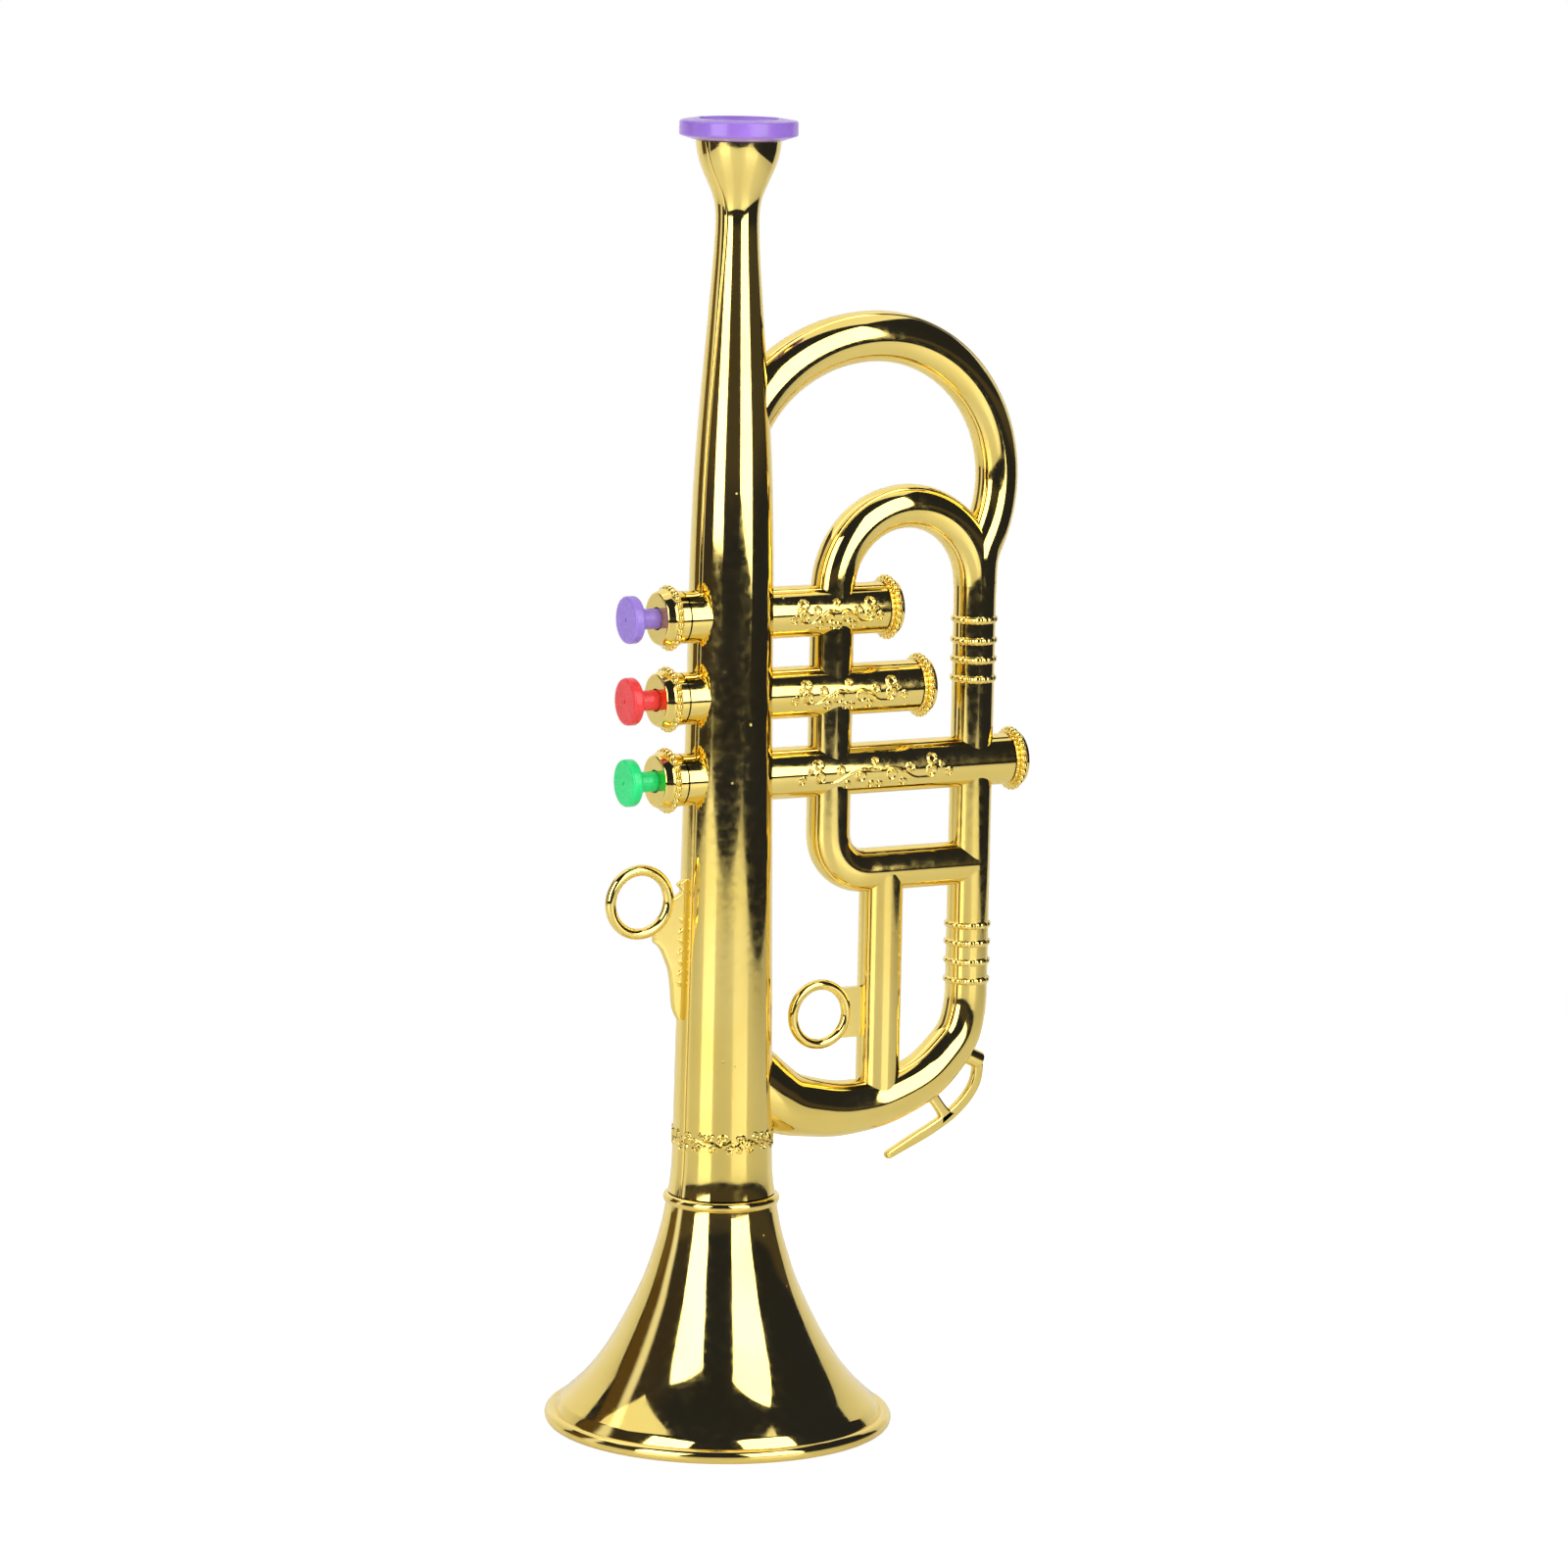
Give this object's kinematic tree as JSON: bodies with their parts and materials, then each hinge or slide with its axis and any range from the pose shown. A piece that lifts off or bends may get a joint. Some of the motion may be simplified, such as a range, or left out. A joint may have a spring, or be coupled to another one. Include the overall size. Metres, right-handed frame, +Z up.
{
  "type": "toy trumpet",
  "caption": "Gilt plastic toy trumpet on its bell: hollow two-shell body with bows and finger rings, flared bell, sprung coloured keys over inner reeds, coloured mouthpiece rim.",
  "frame": {"origin": "under the middle of the whole trumpet, in the plane of the bell's rim that it stands on; the main tube's axis is at x = -0.0221", "axes": "+Z up along the main tube to the mouthpiece, -X the way the keys point, +X to the bows, -Y the front with the parting line"},
  "size_m": [0.1432, 0.099, 0.37],
  "materials": {
    "gilt_plastic": "metallised gold, mirror gloss",
    "purple_plastic": "pearl gloss",
    "red_plastic": "gloss",
    "green_plastic": "gloss",
    "black_rubber": "matt",
    "spring_steel": "bright wire",
    "reed_brass": "bright",
    "white_plastic": "matt"
  },
  "bodies": {
    "body": {"front_shell": "gilt_plastic", "rear_shell": "gilt_plastic", "bell": "gilt_plastic", "mouthpiece_rim": "purple_plastic", "valve_cap_1": "gilt_plastic", "end_cap_1": "gilt_plastic", "key_spring_1": "spring_steel", "valve_cap_2": "gilt_plastic", "end_cap_2": "gilt_plastic", "key_spring_2": "spring_steel", "valve_cap_3": "gilt_plastic", "end_cap_3": "gilt_plastic", "key_spring_3": "spring_steel", "reed_block": "white_plastic", "reed_1": "reed_brass", "reed_2": "reed_brass", "reed_3": "reed_brass", "reed_4": "reed_brass", "finger_ring": "gilt_plastic", "thumb_ring": "gilt_plastic", "water_key": "gilt_plastic"},
    "key_1": {"key_1": "purple_plastic", "pad_1": "black_rubber"},
    "key_2": {"key_2": "red_plastic", "pad_2": "black_rubber"},
    "key_3": {"key_3": "green_plastic", "pad_3": "black_rubber"}
  },
  "joints": [
    {"name": "key_1_press", "type": "slide", "parent": "body", "child": "key_1", "axis": [1, 0, 0], "range_m": [0, 0.0045], "stiffness_N_per_m": 150, "deforming": ["key_spring_1"]},
    {"name": "key_2_press", "type": "slide", "parent": "body", "child": "key_2", "axis": [1, 0, 0], "range_m": [0, 0.0045], "stiffness_N_per_m": 150, "deforming": ["key_spring_2"]},
    {"name": "key_3_press", "type": "slide", "parent": "body", "child": "key_3", "axis": [1, 0, 0], "range_m": [0, 0.0045], "stiffness_N_per_m": 150, "deforming": ["key_spring_3"]}
  ]
}
